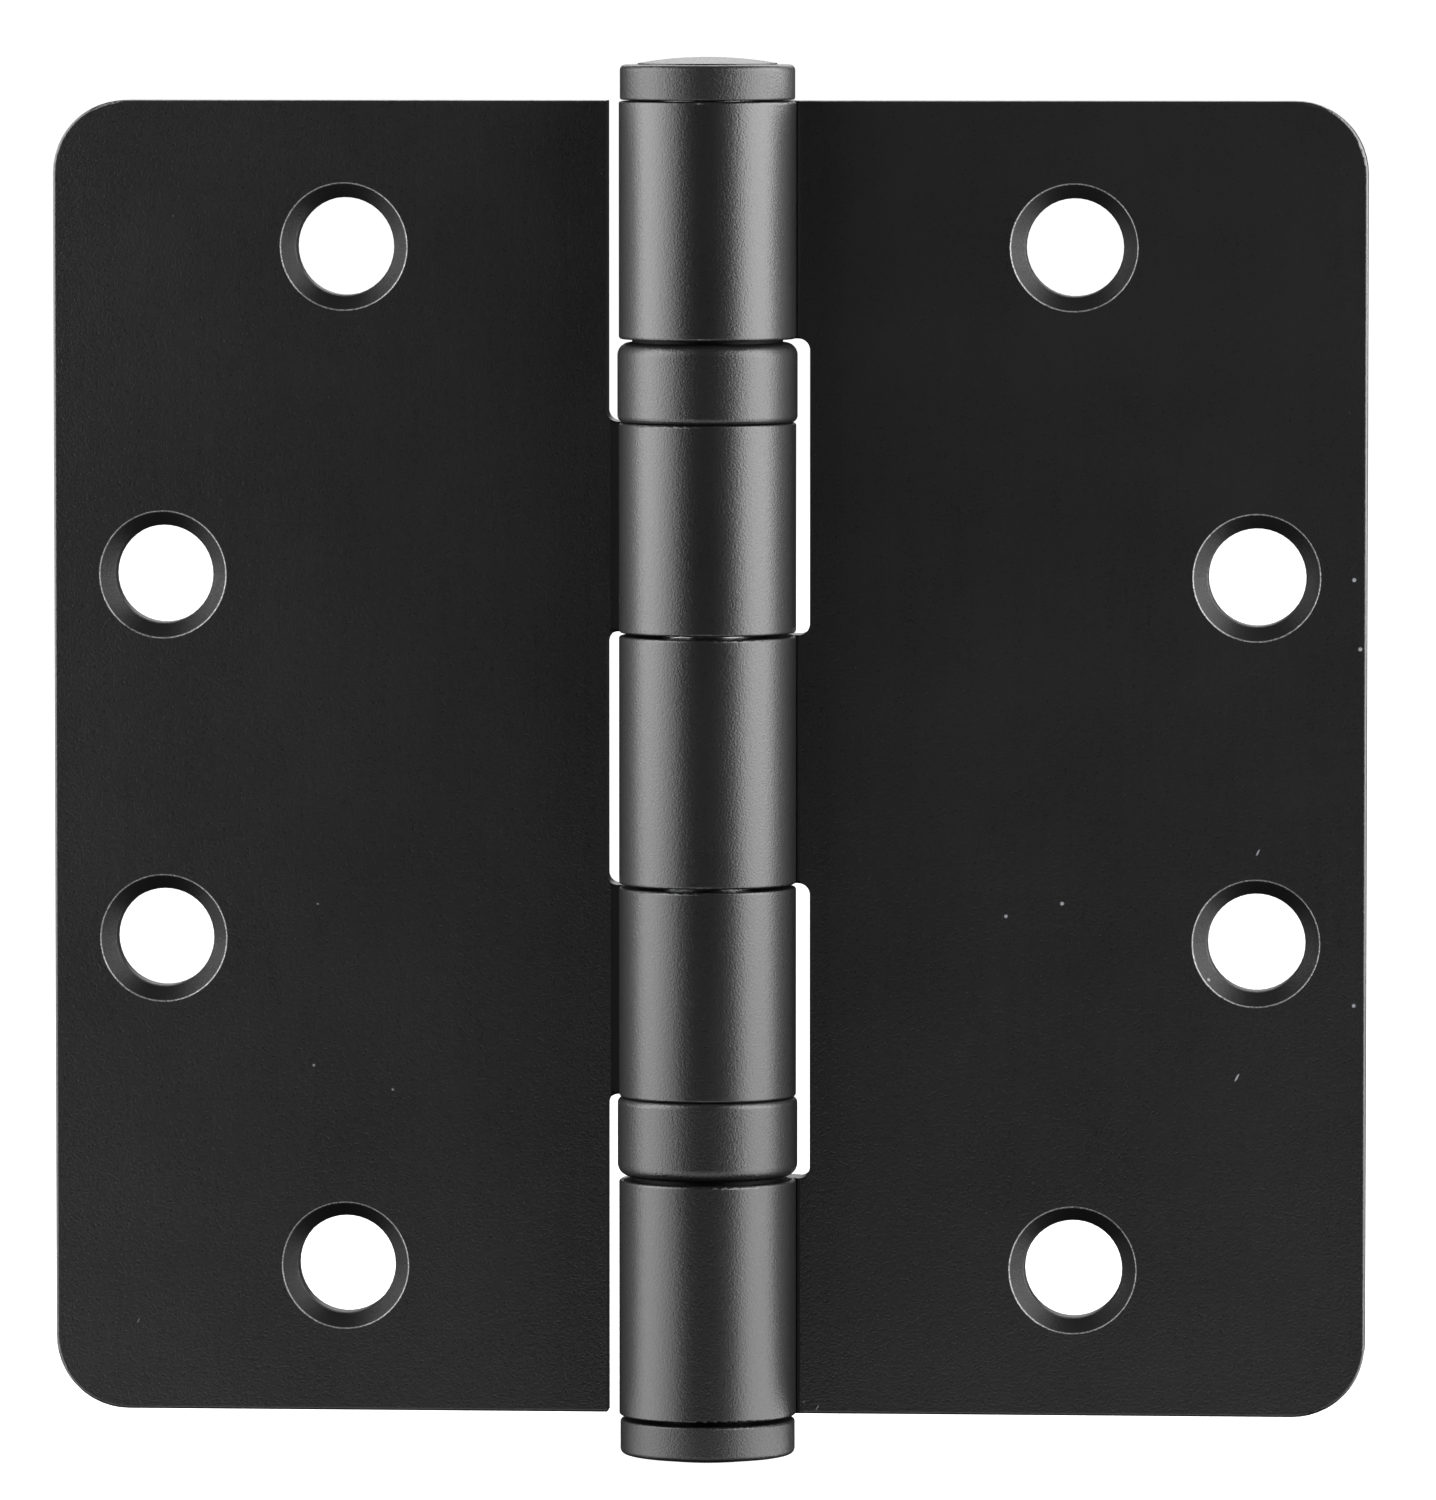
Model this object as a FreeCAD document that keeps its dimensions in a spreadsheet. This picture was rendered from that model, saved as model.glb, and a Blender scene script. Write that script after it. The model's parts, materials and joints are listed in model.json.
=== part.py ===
import FreeCAD, Part
import math
import os

import Sketcher

# Full-mortise butt hinge with five knuckles and two ball bearings, in millimetres.
#
# Frame: +Z runs up the pin, the origin is on the pin's axis at half height, +X points to the
# frame leaf and the countersunk faces look along -Y. The hinge is drawn opened flat.
# Both leaves are the same swaged strip. The frame leaf has knuckles 1, 3 and 5, the door leaf
# has knuckles 2 and 4, and a bearing fills the slot between knuckles 1 and 2 and that between
# 4 and 5. Each bearing is drawn in its own frame, with z = 0 on the door leaf's knuckle.

SIZES = [
    ("leaf_height", 114.3, "both leaves, along the pin"),
    ("leaf_reach", 57.15, "pin axis to the outer edge of a leaf"),
    ("leaf_thickness", 3.4, "stock of both leaves, and the wall of a knuckle"),
    ("corner_radius", 6.35, "outer corners of the leaves"),
    ("closed_gap", 1.6, "between the leaves when they are shut"),
    ("pin_diameter", 8.5, "hinge pin"),
    ("pin_fit", 0.05, "radial clearance of the pin in the knuckles"),
    ("end_knuckle", 20.6, "height of knuckles 1 and 5"),
    ("middle_knuckle", 21.6, "height of knuckle 3"),
    ("bearing_slot", 7.25, "height left for a bearing"),
    ("knuckle_gap", 0.25, "between knuckle 3 and its neighbours"),
    ("notch_gap", 1.15, "between a leaf and the other leaf's knuckles"),
    ("notch_radius", 1.0, "inner corners of the knuckle cut-outs"),
    ("frame_swage", 0.3, "from a knuckle to where the frame leaf turns back"),
    ("door_swage", 0.8, "from a knuckle to where the door leaf turns back"),
    ("swage_back_radius", 3.2, "bend on the back face"),
    ("seam_gap", 0.12, "between the curled end of a knuckle and its leaf"),
    ("hole_diameter", 8.5, "screw holes"),
    ("countersink_diameter", 11.1, "screw head seats"),
    ("countersink_angle", 82.0, "screw head seats, full angle in degrees"),
    ("hole_end_margin", 12.7, "end of a leaf to the outer pair of holes"),
    ("hole_inner_pitch", 31.75, "between the two holes of the inner pair"),
    ("hole_edge_margin", 9.525, "outer edge of a leaf to the inner pair"),
    ("hole_stagger", 15.875, "step between the two columns of holes"),
    ("edge_break", 0.25, "rounding of the leaf and knuckle edges"),
    ("hole_break", 0.15, "rounding of the rim of a countersink"),
    ("hole_throat_break", 0.5, "rounding where a countersink meets its hole"),
    ("tip_diameter", 15.2, "button tips"),
    ("tip_height", 3.05, "rim of a button tip"),
    ("tip_radius", 0.5, "shoulder of a button tip"),
    ("tip_foot_radius", 0.2, "edge of a button tip that faces its knuckle"),
    ("crown_diameter", 12.1, "raised crown of a button tip"),
    ("crown_step", 0.12, "foot of the crown"),
    ("crown_height", 0.65, "crown above the rim"),
    ("tip_gap", 0.1, "between the top button tip and its knuckle"),
    ("bottom_tip_gap", 0.35, "between the bottom button tip and its knuckle"),
    ("stud_diameter", 5.0, "stud of the pin, pressed into the top tip"),
    ("stud_height", 1.9, "length of that stud"),
    ("shank_height", 2.6, "plug of the bottom tip inside knuckle 5"),
    ("drift_hole", 3.2, "hole in the bottom tip for driving the pin out"),
    ("pin_end_gap", 0.4, "between the pin and the plug of the bottom tip"),
    ("nose_height", 3.0, "tapered end of the pin"),
    ("nose_diameter", 4.8, "small end of the taper"),
    ("nose_radius", 0.6, "rounding of the tapered end"),
    ("flute_length", 9.0, "fluted band that grips knuckle 1"),
    ("flute_start", 1.5, "from the top of the pin to the flutes"),
    ("flute_depth", 0.16, "depth of a flute"),
    ("flute_width", 0.5, "width of a flute"),
    ("case_room", 3.52, "from the knuckle bore to the outside of a bearing case"),
    ("case_gap", 0.3, "between a bearing case and the frame knuckle"),
    ("case_wall", 0.65, "wall and floor of a bearing case"),
    ("case_lip", 0.5, "width of the rolled lip of a case"),
    ("case_lip_radius", 1.1, "outer edge of the rolled lip"),
    ("case_floor_radius", 0.6, "outer edge of the floor"),
    ("race_bore_fit", 0.2, "radial room between the pin and a race"),
    ("race_case_fit", 0.12, "room between a race and its case"),
    ("ball_diameter", 1.984, "5/64 inch bearing balls"),
    ("ball_fit", 0.03, "room between a ball and its groove"),
    ("ball_race_gap", 1.1, "between the two races"),
    ("retainer_thickness", 0.8, "ball retainer"),
    ("retainer_pocket_fit", 0.06, "room between a ball and its pocket"),
    ("retainer_side_fit", 0.16, "room beside the retainer"),
]
BALLS = 12
FLUTES = 24

doc = FreeCAD.newDocument("butt_hinge")
sheet = doc.addObject("Spreadsheet::Sheet", "sizes")
for row, (alias, value, note) in enumerate(SIZES, start=1):
    sheet.set(f"A{row}", alias)
    sheet.set(f"B{row}", str(value))
    sheet.set(f"C{row}", note)
    sheet.setAlias(f"B{row}", alias)
doc.recompute()


class Dim:
    """A length in millimetres together with the spreadsheet expression that gives it."""

    def __init__(self, value, text):
        self.value = value
        self.text = text

    def _with(self, other, sign, value):
        right = other.text if isinstance(other, Dim) else repr(other)
        return Dim(value, f"({self.text} {sign} {right})")

    def __add__(self, other):
        return self._with(other, "+", self.value + number(other))

    def __sub__(self, other):
        return self._with(other, "-", self.value - number(other))

    def __mul__(self, other):
        return self._with(other, "*", self.value * number(other))

    def __truediv__(self, other):
        return self._with(other, "/", self.value / number(other))

    def __neg__(self):
        return self * -1


def number(length):
    """The plain value of a Dim or of a number."""
    return length.value if isinstance(length, Dim) else float(length)


def size(alias):
    """The Dim of one cell of the sheet."""
    return Dim(float(sheet.get(alias)), f"sizes.{alias}")


ZERO = Dim(0.0, "0")
UPSIDE_DOWN = FreeCAD.Rotation(FreeCAD.Vector(1, 0, 0), 180)

half_height = size("leaf_height") / 2
leaf_front = size("closed_gap") / 2
leaf_back = leaf_front + size("leaf_thickness")
pin_radius = size("pin_diameter") / 2
bore_radius = pin_radius + size("pin_fit")
knuckle_radius = bore_radius + size("leaf_thickness")

# Heights on the upper half of the pin. The lower half is its mirror image.
knuckle_1_foot = half_height - size("end_knuckle")
knuckle_2_top = knuckle_1_foot - size("bearing_slot")
knuckle_3_top = size("middle_knuckle") / 2
knuckle_2_foot = knuckle_3_top + size("knuckle_gap")

# Heights inside a bearing, up from the door leaf's knuckle.
case_top = size("bearing_slot") - size("case_gap")
case_radius = bore_radius + size("case_room")
case_bore = case_radius - size("case_wall")
lip_bore = case_bore - size("case_lip")
race_bore = pin_radius + size("race_bore_fit")
race_radius = case_bore - size("race_case_fit")
ball_ring = (race_bore + race_radius) / 2
ball_radius = size("ball_diameter") / 2
ball_height = (size("case_wall") + case_top) / 2
door_race_top = ball_height - size("ball_race_gap") / 2
frame_race_foot = ball_height + size("ball_race_gap") / 2
frame_race_step = case_top - size("case_wall") - size("race_case_fit")
frame_race_neck = lip_bore - size("race_case_fit")

pin_top = half_height + size("tip_gap")
pin_foot = -half_height + size("shank_height") + size("pin_end_gap")


# ---- sketches and features ----------------------------------------------------------------


def new_body(name):
    body = doc.addObject("PartDesign::Body", name)
    body.Label = name
    return body


def new_sketch(body, name, role, offset=ZERO):
    """A sketch on one of the body's own origin planes, moved along that plane's normal."""
    sketch = body.newObject("Sketcher::SketchObject", name)
    plane = next(item for item in body.Origin.OriginFeatures if item.Role == role)
    sketch.AttachmentSupport = (plane, [""])
    sketch.MapMode = "FlatFace"
    sketch.AttachmentOffset = FreeCAD.Placement(
        FreeCAD.Vector(0, 0, offset.value), FreeCAD.Rotation()
    )
    sketch.setExpression("AttachmentOffset.Base.z", offset.text)
    return sketch


def drive(sketch, kind, where, length):
    """Adds a driving dimension and binds it to the sheet."""
    index = sketch.addConstraint(Sketcher.Constraint(kind, *where, length.value))
    sketch.setExpression(f"Constraints[{index}]", length.text)


def drive_point(sketch, element, end, x, y):
    """Places one end of an element by its two distances from the origin."""
    if x is ZERO:
        sketch.addConstraint(Sketcher.Constraint("PointOnObject", element, end, -2))
    else:
        drive(sketch, "DistanceX", (-1, 1, element, end), x)
    if y is ZERO:
        sketch.addConstraint(Sketcher.Constraint("PointOnObject", element, end, -1))
    else:
        drive(sketch, "DistanceY", (-1, 1, element, end), y)


def arc_between(start, end, centre):
    """The short arc from start to end, and which of its two ends is the start."""
    round_path = Part.Circle(centre, FreeCAD.Vector(0, 0, 1), (start - centre).Length)
    angles = [math.atan2(point.y - centre.y, point.x - centre.x) for point in (start, end)]
    left_turn = (start - centre).cross(end - centre).z > 0
    if left_turn:
        return Part.ArcOfCircle(round_path, angles[0], angles[1]), 1
    return Part.ArcOfCircle(round_path, angles[1], angles[0]), 2


def outline(sketch, points, arcs=None):
    """A closed outline through points, each a pair of Dims.

    arcs gives, for the number of a point, the radius and centre of the arc that leaves it.
    """
    arcs = arcs or {}
    vectors = [FreeCAD.Vector(number(x), number(y), 0) for x, y in points]
    count = len(points)
    starts = []
    for index, start in enumerate(vectors):
        end = vectors[(index + 1) % count]
        if index in arcs:
            radius, centre = arcs[index]
            middle = FreeCAD.Vector(number(centre[0]), number(centre[1]), 0)
            curve, first = arc_between(start, end, middle)
            element = sketch.addGeometry(curve)
            drive(sketch, "Radius", (element,), radius)
        else:
            element = sketch.addGeometry(Part.LineSegment(start, end))
            first = 1
        starts.append((element, first))
    for index, (x, y) in enumerate(points):
        element, first = starts[index]
        before, before_first = starts[index - 1]
        join = Sketcher.Constraint("Coincident", before, 3 - before_first, element, first)
        sketch.addConstraint(join)
        drive_point(sketch, element, first, x, y)


def circle(sketch, x, y, radius):
    centre = FreeCAD.Vector(x.value, y.value, 0)
    normal = FreeCAD.Vector(0, 0, 1)
    element = sketch.addGeometry(Part.Circle(centre, normal, radius.value))
    drive_point(sketch, element, 3, x, y)
    drive(sketch, "Radius", (element,), radius)


def pad(body, name, sketch, length, symmetric=False, reversed_side=False):
    feature = body.newObject("PartDesign::Pad", name)
    feature.Profile = sketch
    feature.setExpression("Length", length.text)
    feature.SideType = "Symmetric" if symmetric else "One side"
    feature.Reversed = reversed_side
    return feature


def pocket(body, name, sketch, length=None, symmetric=False, reversed_side=False):
    """Cuts a sketch out of the body, right through it where no length is given."""
    doc.recompute()
    before = body.Shape.Volume
    feature = body.newObject("PartDesign::Pocket", name)
    feature.Profile = sketch
    feature.Type = "ThroughAll" if length is None else "Length"
    if length is not None:
        feature.setExpression("Length", length.text)
    feature.SideType = "Symmetric" if symmetric else "One side"
    feature.Reversed = reversed_side
    doc.recompute()
    if body.Shape.Volume >= before:
        raise RuntimeError(f"{name} cuts nothing")
    return feature


def revolve(body, name, sketch, kind="PartDesign::Revolution"):
    """Turns a sketch on the XZ plane once round the Z axis."""
    feature = body.newObject(kind, name)
    feature.Profile = sketch
    feature.ReferenceAxis = (sketch, ["V_Axis"])
    feature.Angle = 360.0
    return feature


def turned_body(name, points):
    """A body turned round Z from an outline of (radius, height) pairs."""
    body = new_body(name)
    section = new_sketch(body, f"{name}_section", "XZ_Plane")
    outline(section, points)
    revolve(body, f"{name}_turned", section)
    doc.recompute()
    return body


def round_edges(body, name, radius, wanted):
    """Fillets every edge of the body's present shape that wanted(edge) picks."""
    doc.recompute()
    base = body.Tip
    names = [
        f"Edge{index}"
        for index, edge in enumerate(base.Shape.Edges, start=1)
        if not edge.Degenerated and wanted(edge)
    ]
    if not names:
        raise RuntimeError(f"{name} finds no edge")
    feature = body.newObject("PartDesign::Fillet", name)
    feature.Base = (base, names)
    feature.setExpression("Radius", radius.text)
    doc.recompute()
    return feature


def near(first, second):
    return abs(number(first) - number(second)) < 1e-4


def ring_at(radius, height):
    """Picks the round edges of one radius at one height."""

    def wanted(edge):
        curve = edge.Curve
        round_edge = isinstance(curve, Part.Circle)
        return round_edge and near(curve.Radius, radius) and near(curve.Center.z, height)

    return wanted


# ---- leaves ---------------------------------------------------------------------------------


def swaged_section(sketch, bend):
    """Section of a leaf across the pin: flat stock, a ramp back to the pin and the curl.

    The front of the ramp is tangent to the bore and its back to the outside of the knuckle,
    so the curl keeps the thickness of the stock. The curl ends against the ramp, at the seam.
    """
    origin = FreeCAD.Vector(0, 0, 0)
    normal = FreeCAD.Vector(0, 0, 1)
    reach = size("leaf_reach")
    bore = bore_radius.value
    outside = knuckle_radius.value
    front = leaf_front.value
    back = leaf_back.value
    start = math.atan2(front, bend.value) + math.acos(bore / math.hypot(bend.value, front))
    seam = bore - size("seam_gap").value
    seam_inner = start - math.acos(seam / bore) + 2 * math.pi
    seam_outer = start - math.acos(seam / outside) + 2 * math.pi

    def on_circle(radius, angle):
        return FreeCAD.Vector(radius * math.cos(angle), radius * math.sin(angle), 0)

    ramp_top = on_circle(outside, start)
    ramp_run = (ramp_top.y - back) / math.cos(start)
    ramp_foot = FreeCAD.Vector(ramp_top.x + ramp_run * math.sin(start), back, 0)
    edge_front = FreeCAD.Vector(reach.value, front, 0)
    edge_back = FreeCAD.Vector(reach.value, back, 0)
    bend_front = FreeCAD.Vector(bend.value, front, 0)

    line = Part.LineSegment
    face = sketch.addGeometry(line(edge_front, bend_front))
    ramp = sketch.addGeometry(line(bend_front, on_circle(bore, start)))
    hole = sketch.addGeometry(Part.ArcOfCircle(Part.Circle(origin, normal, bore), start, seam_inner))
    end = sketch.addGeometry(line(on_circle(bore, seam_inner), on_circle(outside, seam_outer)))
    curl = sketch.addGeometry(Part.ArcOfCircle(Part.Circle(origin, normal, outside), start, seam_outer))
    ramp_back = sketch.addGeometry(line(ramp_top, ramp_foot))
    face_back = sketch.addGeometry(line(ramp_foot, edge_back))
    edge = sketch.addGeometry(line(edge_back, edge_front))

    constrain = sketch.addConstraint
    constrain(Sketcher.Constraint("Coincident", face, 2, ramp, 1))
    constrain(Sketcher.Constraint("Coincident", hole, 2, end, 1))
    constrain(Sketcher.Constraint("Coincident", end, 2, curl, 2))
    constrain(Sketcher.Constraint("Coincident", ramp_back, 2, face_back, 1))
    constrain(Sketcher.Constraint("Coincident", face_back, 2, edge, 1))
    constrain(Sketcher.Constraint("Coincident", edge, 2, face, 1))
    constrain(Sketcher.Constraint("Coincident", hole, 3, -1, 1))
    constrain(Sketcher.Constraint("Coincident", curl, 3, -1, 1))
    constrain(Sketcher.Constraint("Tangent", ramp, 2, hole, 1))
    constrain(Sketcher.Constraint("Tangent", ramp_back, 1, curl, 1))
    constrain(Sketcher.Constraint("Parallel", ramp, end))
    constrain(Sketcher.Constraint("Parallel", ramp, ramp_back))
    constrain(Sketcher.Constraint("Horizontal", face))
    constrain(Sketcher.Constraint("Horizontal", face_back))
    constrain(Sketcher.Constraint("Vertical", edge))
    drive(sketch, "Radius", (hole,), bore_radius)
    drive(sketch, "Radius", (curl,), knuckle_radius)
    drive(sketch, "Distance", (end, 1, ramp), size("seam_gap"))
    drive(sketch, "DistanceX", (-1, 1, ramp, 1), bend)
    drive(sketch, "DistanceX", (-1, 1, edge, 2), reach)
    drive(sketch, "DistanceY", (-1, 1, edge, 2), leaf_front)
    drive(sketch, "DistanceY", (-1, 1, edge, 1), leaf_back)


def cut_out(sketch, edge, low, high):
    """Room for a knuckle of the other leaf, with round corners except past the leaf's ends."""
    radius = size("notch_radius")
    past_knuckle = -knuckle_radius - 1.0
    points = [(past_knuckle, low)]
    arcs = {}
    if low.value > -half_height.value:
        arcs[len(points)] = (radius, (edge - radius, low + radius))
        points.append((edge - radius, low))
        points.append((edge, low + radius))
    else:
        points.append((edge, low))
    if high.value < half_height.value:
        arcs[len(points)] = (radius, (edge - radius, high - radius))
        points.append((edge, high - radius))
        points.append((edge - radius, high))
    else:
        points.append((edge, high))
    points.append((past_knuckle, high))
    outline(sketch, points, arcs)


def leaf(name, bend, notches):
    """One leaf, reaching along +X. notches are the (low, high) heights of its cut-outs."""
    body = new_body(name)
    section = new_sketch(body, f"{name}_section", "XY_Plane")
    swaged_section(section, bend)
    pad(body, f"{name}_strip", section, size("leaf_height"), symmetric=True)
    doc.recompute()

    def along_pin(x, y):
        """Picks the long edge of the strip at one place."""

        def wanted(edge):
            place = edge.CenterOfMass
            return near(place.z, 0) and near(place.x, x) and near(place.y, y)

        return wanted

    back_bend = next(
        edge.CenterOfMass.x
        for edge in body.Shape.Edges
        if near(edge.CenterOfMass.z, 0)
        and near(edge.CenterOfMass.y, leaf_back)
        and not near(edge.CenterOfMass.x, size("leaf_reach"))
    )
    round_edges(
        body, f"{name}_back_bend", size("swage_back_radius"), along_pin(back_bend, leaf_back)
    )

    cut_outs = new_sketch(body, f"{name}_cut_outs", "XZ_Plane")
    for low, high in notches:
        cut_out(cut_outs, knuckle_radius + size("notch_gap"), low, high)
    pocket(body, f"{name}_knuckles", cut_outs, symmetric=True)

    def across(x, heights):
        """Picks the straight edges through the stock at one reach and at certain heights."""

        def wanted(edge):
            ends = [vertex.Point for vertex in edge.Vertexes]
            if len(ends) != 2 or not near(ends[0].z, ends[1].z):
                return False
            same_reach = near(ends[0].x, x) and near(ends[1].x, x)
            return same_reach and any(near(ends[0].z, height) for height in heights)

        return wanted

    ends = [half_height, -half_height]
    round_edges(
        body, f"{name}_corners", size("corner_radius"), across(size("leaf_reach"), ends)
    )

    reach = size("leaf_reach")
    inner_column = reach - size("hole_edge_margin")
    outer_column = inner_column - size("hole_stagger")
    end_row = half_height - size("hole_end_margin")
    middle_row = size("hole_inner_pitch") / 2
    screws = new_sketch(body, f"{name}_screw_centres", "XZ_Plane", -leaf_front)
    for sign in (1, -1):
        circle(screws, outer_column, end_row * sign, size("hole_diameter") / 2)
        circle(screws, inner_column, middle_row * sign, size("hole_diameter") / 2)
    doc.recompute()
    before = body.Shape.Volume
    holes = body.newObject("PartDesign::Hole", f"{name}_screw_holes")
    holes.Profile = screws
    doc.recompute()
    holes.ThreadType = "None"
    holes.DepthType = "ThroughAll"
    holes.setExpression("Diameter", size("hole_diameter").text)
    holes.HoleCutType = "Countersink"
    holes.HoleCutCustomValues = True
    holes.setExpression("HoleCutDiameter", size("countersink_diameter").text)
    holes.setExpression("HoleCutCountersinkAngle", size("countersink_angle").text)
    doc.recompute()
    if body.Shape.Volume >= before:
        raise RuntimeError(f"{name} has no screw holes")

    def hole_ring(radius):
        """Picks the round edges of the screw holes that have one radius."""

        def wanted(edge):
            curve = edge.Curve
            return isinstance(curve, Part.Circle) and near(curve.Radius, radius)

        return wanted

    def countersink_throat(edge):
        return hole_ring(hole)(edge) and edge.BoundBox.YMax < leaf_back.value - 0.01

    def leaf_outline(edge):
        """Picks the outline of the front and back faces, and the ends of the knuckles."""
        box = edge.BoundBox
        if hole_ring(hole)(edge) or hole_ring(seat)(edge):
            return False
        if hole_ring(knuckle_radius)(edge):
            return True
        level = near(box.YMin, box.YMax)
        on_face = level and (near(box.YMin, leaf_front) or near(box.YMin, leaf_back))
        beyond_bend = box.XMax > back_bend + size("swage_back_radius").value
        return on_face and beyond_bend

    hole = size("hole_diameter") / 2
    seat = size("countersink_diameter") / 2
    round_edges(body, f"{name}_edges", size("edge_break"), leaf_outline)
    round_edges(body, f"{name}_throats", size("hole_throat_break"), countersink_throat)
    round_edges(body, f"{name}_rims", size("hole_break"), hole_ring(seat))
    return body


def frame_leaf():
    notches = [
        (knuckle_3_top, knuckle_1_foot),
        (-knuckle_1_foot, -knuckle_3_top),
    ]
    return leaf("frame_leaf", knuckle_radius + size("frame_swage"), notches)


def door_leaf():
    past_end = half_height + 1.0
    notches = [
        (knuckle_2_top, past_end),
        (-knuckle_2_foot, knuckle_2_foot),
        (-past_end, -knuckle_2_top),
    ]
    body = leaf("door_leaf", knuckle_radius + size("door_swage"), notches)
    half_turn = FreeCAD.Rotation(FreeCAD.Vector(0, 1, 0), 180)
    body.Placement = FreeCAD.Placement(FreeCAD.Vector(0, 0, 0), half_turn)
    return body


# ---- pin and button tips ----------------------------------------------------------------


def hinge_pin():
    """Loose pin: tapered foot, fluted band inside knuckle 1 and a stud for the top tip."""
    stud = size("stud_diameter") / 2
    nose = size("nose_diameter") / 2
    shoulder = pin_foot + size("nose_height")
    stud_top = pin_top + size("stud_height")
    points = [
        (ZERO, pin_foot),
        (nose, pin_foot),
        (pin_radius, shoulder),
        (pin_radius, pin_top),
        (stud, pin_top),
        (stud, stud_top),
        (ZERO, stud_top),
    ]
    body = turned_body("hinge_pin", points)
    round_edges(body, "hinge_pin_nose", size("nose_radius"), ring_at(nose, pin_foot))
    round_edges(body, "hinge_pin_taper", size("nose_radius") * 3, ring_at(pin_radius, shoulder))

    flute_top = pin_top - size("flute_start")
    flute = new_sketch(body, "hinge_pin_flute", "XY_Plane", flute_top)
    root = pin_radius - size("flute_depth")
    side = size("flute_width") / 2
    beyond = pin_radius + size("flute_depth")
    outline(flute, [(root, ZERO), (beyond, -side * 2), (beyond, side * 2)])
    cut = pocket(body, "hinge_pin_first_flute", flute, size("flute_length"))
    before = body.Shape.Volume
    ring = body.newObject("PartDesign::PolarPattern", "hinge_pin_flutes")
    ring.Originals = [cut]
    ring.Axis = (flute, ["N_Axis"])
    ring.Angle = 360.0
    ring.Occurrences = FLUTES
    body.Tip = ring
    doc.recompute()
    if body.Shape.Volume >= before:
        raise RuntimeError("the flutes were not repeated")
    return body


def tip_head(name, bore):
    """Head of a button tip, underside at z = 0, with a domed crown on a small step."""
    rim = size("tip_diameter") / 2
    top = size("tip_height")
    crown = size("crown_diameter") / 2
    foot = top + size("crown_step")
    peak = top + size("crown_height")
    points = [(ZERO, ZERO), (rim, ZERO), (rim, top), (crown, top), (crown, foot), (ZERO, peak)]
    rise = peak - foot
    dome = (crown * crown + rise * rise) / (rise * 2)
    body = new_body(name)
    section = new_sketch(body, f"{name}_section", "XZ_Plane")
    outline(section, points, {4: (dome, (ZERO, peak - dome))})
    revolve(body, f"{name}_turned", section)
    round_edges(body, f"{name}_shoulder", size("tip_radius"), ring_at(rim, top))
    round_edges(body, f"{name}_foot", size("tip_foot_radius"), ring_at(rim, 0))
    drill = new_sketch(body, f"{name}_bore_circle", "XY_Plane")
    circle(drill, ZERO, ZERO, bore)
    return body, drill


def top_button_tip():
    """Tip pressed on the pin's stud."""
    body, drill = tip_head("top_button_tip", size("stud_diameter") / 2)
    pocket(body, "top_button_tip_bore", drill, size("stud_height"), reversed_side=True)
    body.setExpression("Placement.Base.z", pin_top.text)
    return body


def bottom_button_tip():
    """Tip with a shank pressed into knuckle 5 and a through hole for a drift punch."""
    body, drill = tip_head("bottom_button_tip", size("drift_hole") / 2)
    shank_sketch = new_sketch(body, "bottom_button_tip_shank_circle", "XY_Plane")
    circle(shank_sketch, ZERO, ZERO, bore_radius)
    shank = size("shank_height") + size("bottom_tip_gap")
    pad(body, "bottom_button_tip_shank", shank_sketch, shank, reversed_side=True)
    round_edges(body, "bottom_button_tip_lead", size("edge_break"), ring_at(bore_radius, -shank))
    pocket(body, "bottom_button_tip_bore", drill, symmetric=True)
    body.Placement = FreeCAD.Placement(FreeCAD.Vector(0, 0, 0), UPSIDE_DOWN)
    body.setExpression("Placement.Base.z", (-half_height - size("bottom_tip_gap")).text)
    return body


# ---- bearings -----------------------------------------------------------------------------


def place_in_bearing(item, side):
    """Moves a piece from the bearing's own frame to the upper or the lower slot."""
    if side == "lower":
        item.Placement = FreeCAD.Placement(FreeCAD.Vector(0, 0, 0), UPSIDE_DOWN)
        item.setExpression("Placement.Base.z", (-knuckle_2_top).text)
    else:
        item.setExpression("Placement.Base.z", knuckle_2_top.text)
    return item


def bearing_case(side):
    """Pressed cup on the door leaf's knuckle, its rim rolled in over the frame race."""
    name = f"{side}_bearing_case"
    floor = size("case_wall")
    points = [
        (race_bore, ZERO),
        (case_radius, ZERO),
        (case_radius, case_top),
        (lip_bore, case_top),
        (lip_bore, case_top - size("case_wall")),
        (case_bore, case_top - size("case_wall")),
        (case_bore, floor),
        (race_bore, floor),
    ]
    body = turned_body(name, points)
    lip = ring_at(case_radius, case_top)
    round_edges(body, f"{name}_lip", size("case_lip_radius"), lip)
    round_edges(body, f"{name}_floor", size("case_floor_radius"), ring_at(case_radius, 0))
    return place_in_bearing(body, side)


def ball_groove(body, name):
    """Turns the ball groove into a race."""
    doc.recompute()
    before = body.Shape.Volume
    sketch = new_sketch(body, f"{name}_groove_circle", "XZ_Plane")
    circle(sketch, ball_ring, ball_height, ball_radius + size("ball_fit"))
    revolve(body, f"{name}_groove", sketch, "PartDesign::Groove")
    doc.recompute()
    if body.Shape.Volume >= before:
        raise RuntimeError(f"{name} has no ball groove")


def door_race(side):
    """Washer on the floor of the case."""
    name = f"{side}_bearing_door_race"
    floor = size("case_wall")
    points = [
        (race_bore, floor),
        (race_radius, floor),
        (race_radius, door_race_top),
        (race_bore, door_race_top),
    ]
    body = turned_body(name, points)
    ball_groove(body, name)
    return place_in_bearing(body, side)


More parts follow.
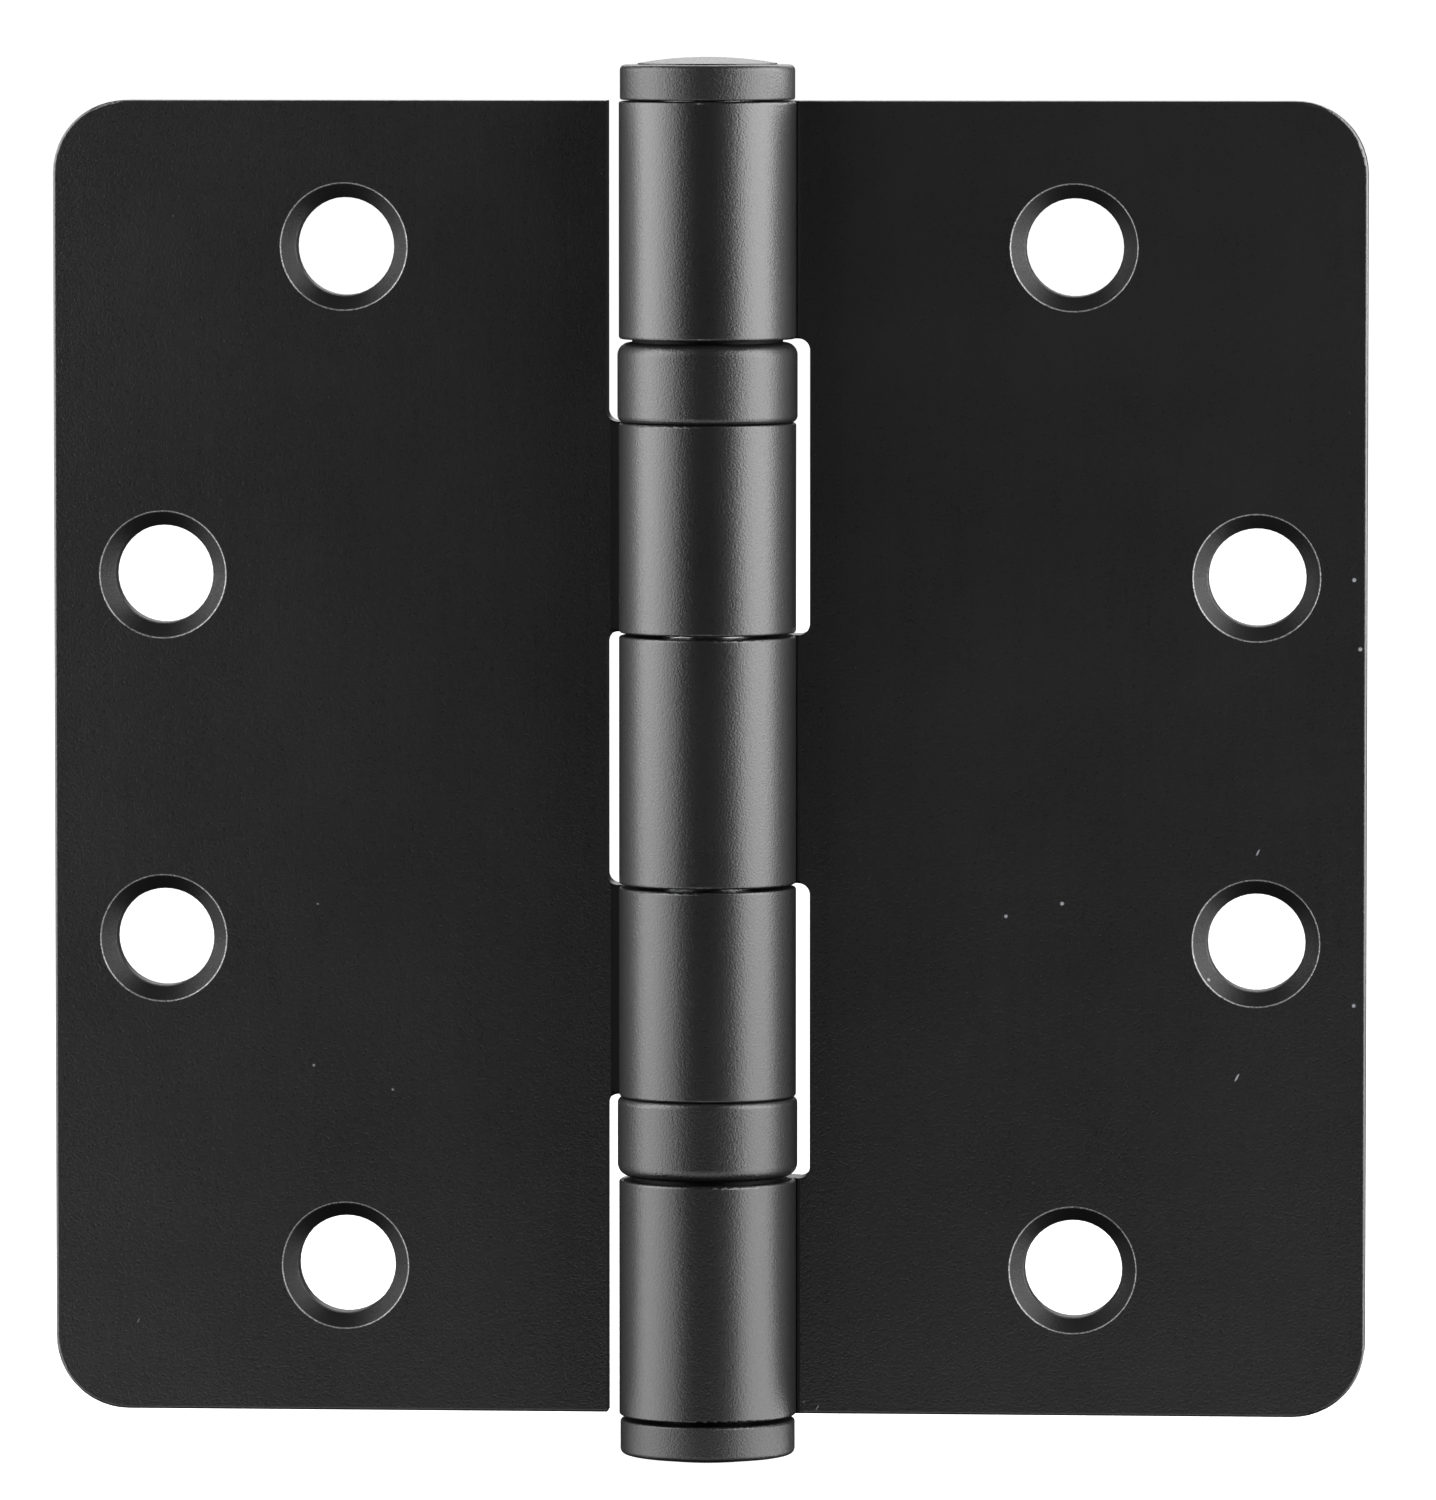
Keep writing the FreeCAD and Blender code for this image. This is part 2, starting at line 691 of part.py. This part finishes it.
def frame_race(side):
    """Stepped washer: its flange stays under the lip and its neck bears on the frame leaf."""
    name = f"{side}_bearing_frame_race"
    points = [
        (race_bore, frame_race_foot),
        (race_radius, frame_race_foot),
        (race_radius, frame_race_step),
        (frame_race_neck, frame_race_step),
        (frame_race_neck, size("bearing_slot")),
        (race_bore, size("bearing_slot")),
    ]
    body = turned_body(name, points)
    ball_groove(body, name)
    return place_in_bearing(body, side)


def ball_retainer(side):
    """Nylon ring with one pocket for each ball."""
    name = f"{side}_ball_retainer"
    inner = race_bore - size("race_bore_fit") + size("retainer_side_fit")
    outer = case_bore - size("retainer_side_fit")
    low = ball_height - size("retainer_thickness") / 2
    high = ball_height + size("retainer_thickness") / 2
    body = turned_body(name, [(inner, low), (outer, low), (outer, high), (inner, high)])
    sketch = new_sketch(body, f"{name}_pocket_circle", "XY_Plane", ball_height)
    circle(sketch, ball_ring, ZERO, ball_radius + size("retainer_pocket_fit"))
    first = pocket(body, f"{name}_first_pocket", sketch, symmetric=True)
    before = body.Shape.Volume
    ring = body.newObject("PartDesign::PolarPattern", f"{name}_pockets")
    ring.Originals = [first]
    ring.Axis = (sketch, ["N_Axis"])
    ring.Angle = 360.0
    ring.Occurrences = BALLS
    body.Tip = ring
    doc.recompute()
    if body.Shape.Volume >= before:
        raise RuntimeError(f"{name} has one pocket only")
    return place_in_bearing(body, side)


def bearing_ball(side, number_in_ring):
    ball = doc.addObject("Part::Sphere", f"{side}_ball_{number_in_ring:02d}")
    ball.Label = ball.Name
    ball.setExpression("Radius", ball_radius.text)
    turn = 360 * (number_in_ring - 1) / BALLS
    ball.setExpression("Placement.Base.x", f"{ball_ring.text} * cos({turn} deg)")
    ball.setExpression("Placement.Base.y", f"{ball_ring.text} * sin({turn} deg)")
    height = knuckle_2_top + ball_height
    if side == "lower":
        height = -height
    ball.setExpression("Placement.Base.z", height.text)
    return ball


def main():
    parts = [frame_leaf(), door_leaf(), hinge_pin(), top_button_tip(), bottom_button_tip()]
    for side in ("upper", "lower"):
        parts += [bearing_case(side), door_race(side), frame_race(side), ball_retainer(side)]
        parts += [bearing_ball(side, ball + 1) for ball in range(BALLS)]
    doc.recompute()

    for item in doc.Objects:
        if "Invalid" in item.State or "Error" in item.State:
            raise RuntimeError(f"{item.Name} did not build: {item.State}")
    for item in parts:
        if item.Shape.isNull() or not item.Shape.isValid():
            raise RuntimeError(f"{item.Label} is not a valid solid")
        if len(item.Shape.Solids) != 1:
            raise RuntimeError(f"{item.Label} has {len(item.Shape.Solids)} solids")

    os.makedirs("parts", exist_ok=True)
    for item in parts:
        item.Shape.exportStep(f"parts/{item.Label}.step")
        print(f"{item.Label}: {item.Shape.Volume:.1f} mm3")


main()
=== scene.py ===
import json
import math

import bpy
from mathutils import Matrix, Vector


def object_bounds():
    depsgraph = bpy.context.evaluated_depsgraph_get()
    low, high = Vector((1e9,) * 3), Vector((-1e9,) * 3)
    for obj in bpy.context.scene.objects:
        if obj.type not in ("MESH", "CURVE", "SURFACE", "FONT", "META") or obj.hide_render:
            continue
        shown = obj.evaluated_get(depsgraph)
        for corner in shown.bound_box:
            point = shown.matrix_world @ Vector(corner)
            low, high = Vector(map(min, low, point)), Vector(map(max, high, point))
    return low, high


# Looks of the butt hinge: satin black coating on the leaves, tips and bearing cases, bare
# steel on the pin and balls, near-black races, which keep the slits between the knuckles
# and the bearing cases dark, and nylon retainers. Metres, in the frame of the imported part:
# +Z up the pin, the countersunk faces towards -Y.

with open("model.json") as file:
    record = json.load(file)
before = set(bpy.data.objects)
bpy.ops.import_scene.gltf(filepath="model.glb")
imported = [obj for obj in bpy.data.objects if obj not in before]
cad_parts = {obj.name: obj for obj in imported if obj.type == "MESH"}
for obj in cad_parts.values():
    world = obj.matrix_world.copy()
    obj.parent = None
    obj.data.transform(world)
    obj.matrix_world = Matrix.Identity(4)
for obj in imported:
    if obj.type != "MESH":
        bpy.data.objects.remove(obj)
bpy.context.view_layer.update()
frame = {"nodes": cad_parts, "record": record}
scene = bpy.context.scene

MM = 0.001


# ---- node helpers ----------------------------------------------------------------------------

# Nearly all of a noise texture's values lie between these two.
NOISE_LOW = 0.3
NOISE_HIGH = 0.7

# Share of a fleck's radius that is solid, before it fades towards its edge.
FLECK_CORE = 0.6


class Shader:
    """A material's node tree, with its surface shader made and short ways to add nodes."""

    def __init__(self, name):
        self.material = bpy.data.materials.new(name)
        self.material.use_nodes = True
        self.tree = self.material.node_tree
        self.surface = self.tree.nodes["Principled BSDF"]
        self.place = self.add("ShaderNodeTexCoord").outputs["Object"]

    def add(self, kind, **settings):
        node = self.tree.nodes.new(kind)
        for key, value in settings.items():
            setattr(node, key, value)
        return node

    def link(self, source, target):
        self.tree.links.new(source, target)

    def set(self, **inputs):
        """Sets plain values on the surface shader, by input name with _ for a space."""
        for key, value in inputs.items():
            self.surface.inputs[key.replace("_", " ")].default_value = value

    def math(self, operation, first, second=None, third=None):
        """One step of arithmetic. Each value is a number or a socket."""
        node = self.add("ShaderNodeMath", operation=operation)
        for slot, value in enumerate((first, second, third)):
            if value is None:
                continue
            if isinstance(value, (int, float)):
                node.inputs[slot].default_value = value
            else:
                self.link(value, node.inputs[slot])
        return node.outputs[0]

    def noise(self, size, detail=2.0, rough=0.5, stretch=(1.0, 1.0, 1.0)):
        """Noise whose blobs are about size metres across, drawn out along each axis."""
        mapping = self.add("ShaderNodeMapping")
        mapping.inputs["Scale"].default_value = [1 / (size * s) for s in stretch]
        self.link(self.place, mapping.inputs["Vector"])
        node = self.add("ShaderNodeTexNoise")
        node.inputs["Scale"].default_value = 1.0
        node.inputs["Detail"].default_value = detail
        node.inputs["Roughness"].default_value = rough
        self.link(mapping.outputs[0], node.inputs["Vector"])
        return node.outputs["Fac"]

    def specks(self, cells, turn, radius, share):
        """1 in scattered flecks, one in each cell that share picks, and 0 elsewhere."""
        mapping = self.add("ShaderNodeMapping", vector_type="TEXTURE")
        mapping.inputs["Rotation"].default_value = (0.0, turn, 0.0)
        mapping.inputs["Scale"].default_value = cells
        self.link(self.place, mapping.inputs["Vector"])
        node = self.add("ShaderNodeTexVoronoi", feature="F1")
        node.inputs["Scale"].default_value = 1.0
        self.link(mapping.outputs[0], node.inputs["Vector"])
        near = self.span(node.outputs["Distance"], radius * FLECK_CORE, radius, 1.0, 0.0)
        pick = self.math("LESS_THAN", self.red(node.outputs["Color"]), share)
        return self.math("MULTIPLY", near, pick)

    def span(self, value, low, high, to_low=0.0, to_high=1.0):
        """Maps low..high to to_low..to_high, clamped."""
        node = self.add("ShaderNodeMapRange")
        node.inputs["From Min"].default_value = low
        node.inputs["From Max"].default_value = high
        node.inputs["To Min"].default_value = to_low
        node.inputs["To Max"].default_value = to_high
        self.link(value, node.inputs["Value"])
        return node.outputs[0]

    def spread(self, noise, to_low=0.0, to_high=1.0):
        """Maps the usual values of a noise to to_low..to_high."""
        return self.span(noise, NOISE_LOW, NOISE_HIGH, to_low, to_high)

    def mix(self, factor, first, second):
        """Mixes two colours. Each is three numbers or a socket."""
        node = self.add("ShaderNodeMix", data_type="RGBA")
        self.link(factor, node.inputs["Factor"])
        # A colour mix has its two colours in sockets 6 and 7, and gives its result in 2.
        for socket, colour in ((node.inputs[6], first), (node.inputs[7], second)):
            if isinstance(colour, tuple):
                socket.default_value = (*colour, 1.0)
            else:
                self.link(colour, socket)
        return node.outputs[2]

    def red(self, colour):
        """The red share of a colour."""
        node = self.add("ShaderNodeSeparateColor")
        self.link(colour, node.inputs[0])
        return node.outputs[0]

    def bump(self, height, distance):
        """Normals of a surface raised by up to distance metres where height is 1."""
        node = self.add("ShaderNodeBump")
        node.inputs["Distance"].default_value = distance
        node.inputs["Strength"].default_value = 1.0
        self.link(height, node.inputs["Height"])
        return node.outputs[0]


# ---- materials -------------------------------------------------------------------------------

# Coating: sizes of its clouds, its grain and its faint streaks along the pin, how far each
# takes the roughness up and down, and what the clouds multiply the colour by.
CLOUD_SIZE = 14 * MM
GRAIN_SIZE = 0.18 * MM
STREAK_SIZE = 0.9 * MM
STREAK_STRETCH = (1.0, 1.0, 30.0)
CLOUD_ROUGHNESS = 0.006
GRAIN_ROUGHNESS = 0.03
STREAK_ROUGHNESS = 0.006
CLOUD_DARK = 0.9
CLOUD_LIGHT = 1.12

# Screw seats: radius of the rim, half the width of its worn line, the share of that which is
# fully worn, how far back it reaches, how much rougher the cutter left the seat than the
# leaf, and what that adds to its shine.
RIM_RADIUS = 5.52 * MM
RIM_HALF_WIDTH = 0.08 * MM
RIM_CORE = 0.4
RIM_BACK = 1.2 * MM
SEAT_ROUGHER = 0.13
SEAT_DULLER = -0.3

# Worn line: colour of the steel under it, the least and most of it that shows, which follow
# the grain between two of its values, and how much smoother it is than the coating.
WORN_STEEL = (0.45, 0.45, 0.46)
WORN_LEAST = 0.1
WORN_MOST = 0.42
WORN_GRAIN_LOW = 0.35
WORN_GRAIN_HIGH = 0.65
WORN_SMOOTHER = 0.06

# Dust: its colour and how much of the coating it hides. Round specks and slanting lint each
# have the size of their cells, a turn about Y in radians, a radius in cells and the share of
# cells in use.
DUST_COLOUR = (0.3, 0.31, 0.33)
DUST_COVER = 0.5
SPECKS = {"cells": (6 * MM, 6 * MM, 6 * MM), "turn": 0.0, "radius": 0.035, "share": 0.45}
LINT = {"cells": (3.5 * MM, 6 * MM, 15 * MM), "turn": 0.5, "radius": 0.03, "share": 0.35}

# Steel: sizes of its lines and clouds, what the clouds multiply the colour by, and how far
# the lines take the roughness down and up.
LINE_SIZE = 0.12 * MM
STEEL_CLOUD_SIZE = 5 * MM
STEEL_CLOUD_DARK = 0.86
LINE_SMOOTHER = 0.06
LINE_ROUGHER = 0.08

# Nylon: sizes of its clouds and grain, height of the grain, and its two shades.
NYLON_CLOUD_SIZE = 2 * MM
NYLON_GRAIN_SIZE = 0.1 * MM
NYLON_GRAIN_HEIGHT = 0.004 * MM
NYLON_DARK = (0.62, 0.59, 0.5)
NYLON_LIGHT = (0.74, 0.71, 0.62)


def seat_centres():
    """Places of the screw seats, as (x, z) pairs folded to where both are positive."""
    places = set()
    for mount in frame["record"]["mounts"]:
        if mount["kind"] == "bolt_pattern":
            reach = abs(mount["pos_m"][0])
            places.add((reach, mount["dims"]["spacing_y_mm"] * MM / 2))
    return sorted(places)


def screw_seats(shader):
    """Two masks: the rims of the screw seats, where the coating is thin, and their insides.

    The second has no limit in depth, so it also leaves a dull ring round each hole on the
    backs of the leaves, where a real hinge has none.
    """
    split = shader.add("ShaderNodeSeparateXYZ")
    shader.link(shader.place, split.inputs[0])
    x = shader.math("ABSOLUTE", split.outputs["X"])
    z = shader.math("ABSOLUTE", split.outputs["Z"])
    radius = None
    for centre_x, centre_z in seat_centres():
        dx = shader.math("SUBTRACT", x, centre_x)
        dz = shader.math("SUBTRACT", z, centre_z)
        across = shader.math("MULTIPLY", dx, dx)
        reach = shader.math("SQRT", shader.math("MULTIPLY_ADD", dz, dz, across))
        radius = reach if radius is None else shader.math("MINIMUM", radius, reach)
    off_rim = shader.math("ABSOLUTE", shader.math("SUBTRACT", radius, RIM_RADIUS))
    rim = shader.span(off_rim, RIM_HALF_WIDTH * RIM_CORE, RIM_HALF_WIDTH, 1.0, 0.0)
    near_front = shader.math("LESS_THAN", split.outputs["Y"], RIM_BACK)
    inside = shader.math("LESS_THAN", radius, RIM_RADIUS - RIM_HALF_WIDTH)
    return shader.math("MULTIPLY", rim, near_front), inside


def black_coating(name, colour, roughness, grain, specular=0.5, leaf=False):
    """Satin black coating. Its grain is so many mm high. A leaf also has worn seats and dust."""
    shader = Shader(name)
    clouds = shader.noise(CLOUD_SIZE, detail=3.0)
    fine = shader.noise(GRAIN_SIZE, detail=2.0, rough=0.6)
    streaks = shader.noise(STREAK_SIZE, detail=3.0, rough=0.6, stretch=STREAK_STRETCH)

    light = tuple(c * CLOUD_LIGHT for c in colour)
    dark = tuple(c * CLOUD_DARK for c in colour)
    base = shader.mix(shader.spread(clouds), dark, light)

    rough = shader.spread(clouds, roughness - CLOUD_ROUGHNESS, roughness + CLOUD_ROUGHNESS)
    rough = shader.math("ADD", rough, shader.spread(fine, -GRAIN_ROUGHNESS, GRAIN_ROUGHNESS))
    rough = shader.math("ADD", rough, shader.spread(streaks, -STREAK_ROUGHNESS, STREAK_ROUGHNESS))

    if leaf:
        rims, inside = screw_seats(shader)
        worn = shader.span(fine, WORN_GRAIN_LOW, WORN_GRAIN_HIGH, WORN_LEAST, WORN_MOST)
        metal = shader.math("MULTIPLY", rims, worn)
        base = shader.mix(metal, base, WORN_STEEL)
        rough = shader.math("ADD", rough, shader.math("MULTIPLY", inside, SEAT_ROUGHER))
        rough = shader.math("SUBTRACT", rough, shader.math("MULTIPLY", metal, WORN_SMOOTHER))
        shader.link(metal, shader.surface.inputs["Metallic"])
        shine = shader.math("MULTIPLY_ADD", inside, SEAT_DULLER, specular)
        shader.link(shine, shader.surface.inputs["Specular IOR Level"])
        flecks = shader.math("MAXIMUM", shader.specks(**SPECKS), shader.specks(**LINT))
        dust = shader.math("MULTIPLY", flecks, DUST_COVER)
        base = shader.mix(dust, base, DUST_COLOUR)
    else:
        shader.set(Specular_IOR_Level=specular)
    shader.link(base, shader.surface.inputs["Base Color"])
    shader.link(rough, shader.surface.inputs["Roughness"])
    shader.link(shader.bump(fine, grain * MM), shader.surface.inputs["Normal"])
    return shader.material


def steel(name, colour, roughness, stretch, depth):
    """Steel, bare or near-black, with fine lines depth mm high that are drawn out by stretch."""
    shader = Shader(name)
    lines = shader.noise(LINE_SIZE, detail=3.0, rough=0.6, stretch=stretch)
    clouds = shader.noise(STEEL_CLOUD_SIZE, detail=3.0)
    dark = tuple(c * STEEL_CLOUD_DARK for c in colour)
    shade = shader.mix(shader.spread(clouds), dark, colour)
    shader.link(shade, shader.surface.inputs["Base Color"])
    rough = shader.spread(lines, roughness - LINE_SMOOTHER, roughness + LINE_ROUGHER)
    shader.link(rough, shader.surface.inputs["Roughness"])
    shader.link(shader.bump(lines, depth * MM), shader.surface.inputs["Normal"])
    shader.set(Metallic=1.0)
    return shader.material


def nylon(name):
    """Moulded nylon, dull, which lets a little light into itself."""
    shader = Shader(name)
    clouds = shader.noise(NYLON_CLOUD_SIZE, detail=3.0)
    fine = shader.noise(NYLON_GRAIN_SIZE, detail=2.0)
    shade = shader.mix(shader.spread(clouds), NYLON_DARK, NYLON_LIGHT)
    shader.link(shade, shader.surface.inputs["Base Color"])
    shader.link(shader.spread(fine, 0.42, 0.55), shader.surface.inputs["Roughness"])
    shader.link(shader.bump(fine, NYLON_GRAIN_HEIGHT), shader.surface.inputs["Normal"])
    shader.set(Metallic=0.0, Subsurface_Weight=0.15)
    return shader.material


finishes = {
    "leaf_coating": black_coating("leaf_coating_look", (0.005, 0.005, 0.005), 0.3, 0.03, leaf=True),
    "tip_coating": black_coating("tip_coating_look", (0.006, 0.006, 0.006), 0.38, 0.045, 0.43),
    "case_coating": black_coating("case_coating_look", (0.005, 0.005, 0.005), 0.32, 0.035),
    "pin_steel": steel("pin_steel_look", (0.42, 0.42, 0.43), 0.3, (1, 1, 40), 0.002),
    # The races are near-black, which keeps the slits between the knuckles and the bearing cases
    # dark.
    "race_steel": steel("race_steel_look", (0.008, 0.008, 0.008), 0.5, (1, 1, 1), 0.001),
    "ball_steel": steel("ball_steel_look", (0.7, 0.7, 0.71), 0.1, (1, 1, 1), 0.0003),
    "retainer_nylon": nylon("retainer_nylon_look"),
}
for node in frame["nodes"].values():
    for index, material in enumerate(node.data.materials):
        node.data.materials[index] = finishes[material.name]


# ---- studio ----------------------------------------------------------------------------------

low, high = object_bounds()
centre = (low + high) / 2

# Camera: where it stands round the target, how far away, its lens and sensor in mm, and the
# target, which is a little off the origin as in the photo.
CAMERA_TURN = math.radians(4.0)
CAMERA_RISE = math.radians(3.71)
CAMERA_DISTANCE = 1.15
CAMERA_LENS = 317.8
CAMERA_SENSOR = 36.0
TARGET = Vector((0.91 * MM, 0.0, 0.83 * MM))


def direction(turn, rise):
    """Unit vector from the object, turned to the right of the front and raised, in radians."""
    flat = math.cos(rise)
    return Vector((math.sin(turn) * flat, -math.cos(turn) * flat, math.sin(rise)))


camera_data = bpy.data.cameras.new("camera")
camera_data.lens = CAMERA_LENS
camera_data.sensor_width = CAMERA_SENSOR
camera = bpy.data.objects.new("camera", camera_data)
scene.collection.objects.link(camera)
scene.camera = camera
away = direction(CAMERA_TURN, CAMERA_RISE)
camera.location = TARGET + away * CAMERA_DISTANCE
camera.rotation_euler = away.to_track_quat("Z", "Y").to_euler()


def card(name, place, aim, width, height, radiance):
    """A rectangular area light at place, facing aim, which the camera doesn't see."""
    data = bpy.data.lights.new(name, "AREA")
    data.shape = "RECTANGLE"
    data.size = width
    data.size_y = height
    data.energy = radiance * math.pi * width * height
    lamp = bpy.data.objects.new(name, data)
    scene.collection.objects.link(lamp)
    lamp.location = place
    lamp.rotation_euler = (place - aim).to_track_quat("Z", "Y").to_euler()
    lamp.visible_camera = False


# Softboxes: how far they stand from the pin, and the heights of their top, of the line
# between their two halves, and of their foot.
SOFTBOX_DISTANCE = 0.26
SOFTBOX_TOP = 0.36
SOFTBOX_MIDDLE = -0.02
SOFTBOX_FOOT = -0.24


def softbox(name, turn, width, upper, lower):
    """An upright softbox turn degrees to the right, with a radiance for each of its halves."""
    spot = direction(math.radians(turn), 0.0) * SOFTBOX_DISTANCE
    for part, foot, top, radiance in (
        ("upper", SOFTBOX_MIDDLE, SOFTBOX_TOP, upper),
        ("lower", SOFTBOX_FOOT, SOFTBOX_MIDDLE, lower),
    ):
        height = (foot + top) / 2
        place = Vector((spot.x, spot.y, height))
        card(f"{name}_{part}", place, Vector((0, 0, height)), width, top - foot, radiance)


softbox("left_front", -66, 0.3, 3.5, 3.3)
softbox("left_side", -77, 0.37, 1.6, 0.1)
softbox("left_back", -88, 0.3, 3.6, 2.0)
softbox("right_front", 66, 0.3, 0.57, 0.63)
softbox("right_side", 86, 0.42, 9.5, 5.2)

# Two more cards: one low in front and one high at the back.
card("low_card", Vector((0.0, -0.3, -0.25)), centre, 0.6, 0.24, 1.7)
card("back_card", Vector((0.0, 1.5, 0.95)), centre, 1.3, 1.1, 3.2)

# Surroundings: white behind the object, and a faint even light on it.
AMBIENT = 0.045
BACKDROP = 1.05
world = bpy.data.worlds.new("studio")
scene.world = world
world.use_nodes = True
sky = world.node_tree
ambient = sky.nodes["Background"]
ambient.inputs["Color"].default_value = (AMBIENT, AMBIENT, AMBIENT, 1.0)
backdrop = sky.nodes.new("ShaderNodeBackground")
backdrop.inputs["Color"].default_value = (1.0, 1.0, 1.0, 1.0)
backdrop.inputs["Strength"].default_value = BACKDROP
ray = sky.nodes.new("ShaderNodeLightPath")
choice = sky.nodes.new("ShaderNodeMixShader")
sky.links.new(ray.outputs["Is Camera Ray"], choice.inputs["Fac"])
sky.links.new(ambient.outputs[0], choice.inputs[1])
sky.links.new(backdrop.outputs[0], choice.inputs[2])
sky.links.new(choice.outputs[0], sky.nodes["World Output"].inputs["Surface"])

# Floor: a sheet lit evenly from within like a light table, so that shadows on it are faint.
# It neither lights the object nor shows in its reflections.
FLOOR_REACH = 6.0
FLOOR_GREY = 0.3
FLOOR_GLOW = 1.05
around = ((-1, -1), (1, -1), (1, 1), (-1, 1))
floor_corners = [(x * FLOOR_REACH, y * FLOOR_REACH, low.z) for x, y in around]
floor_mesh = bpy.data.meshes.new("floor")
floor_mesh.from_pydata(floor_corners, [], [(0, 1, 2, 3)])
floor = bpy.data.objects.new("floor", floor_mesh)
scene.collection.objects.link(floor)
floor_look = Shader("floor_look")
floor_grey = (FLOOR_GREY, FLOOR_GREY, FLOOR_GREY, 1.0)
floor_look.set(Base_Color=floor_grey, Roughness=1.0, Specular_IOR_Level=0.0)
floor_look.set(Emission_Color=(1.0, 1.0, 1.0, 1.0), Emission_Strength=FLOOR_GLOW)
floor_mesh.materials.append(floor_look.material)
floor.visible_diffuse = False
floor.visible_glossy = False

scene.view_settings.view_transform = "Standard"
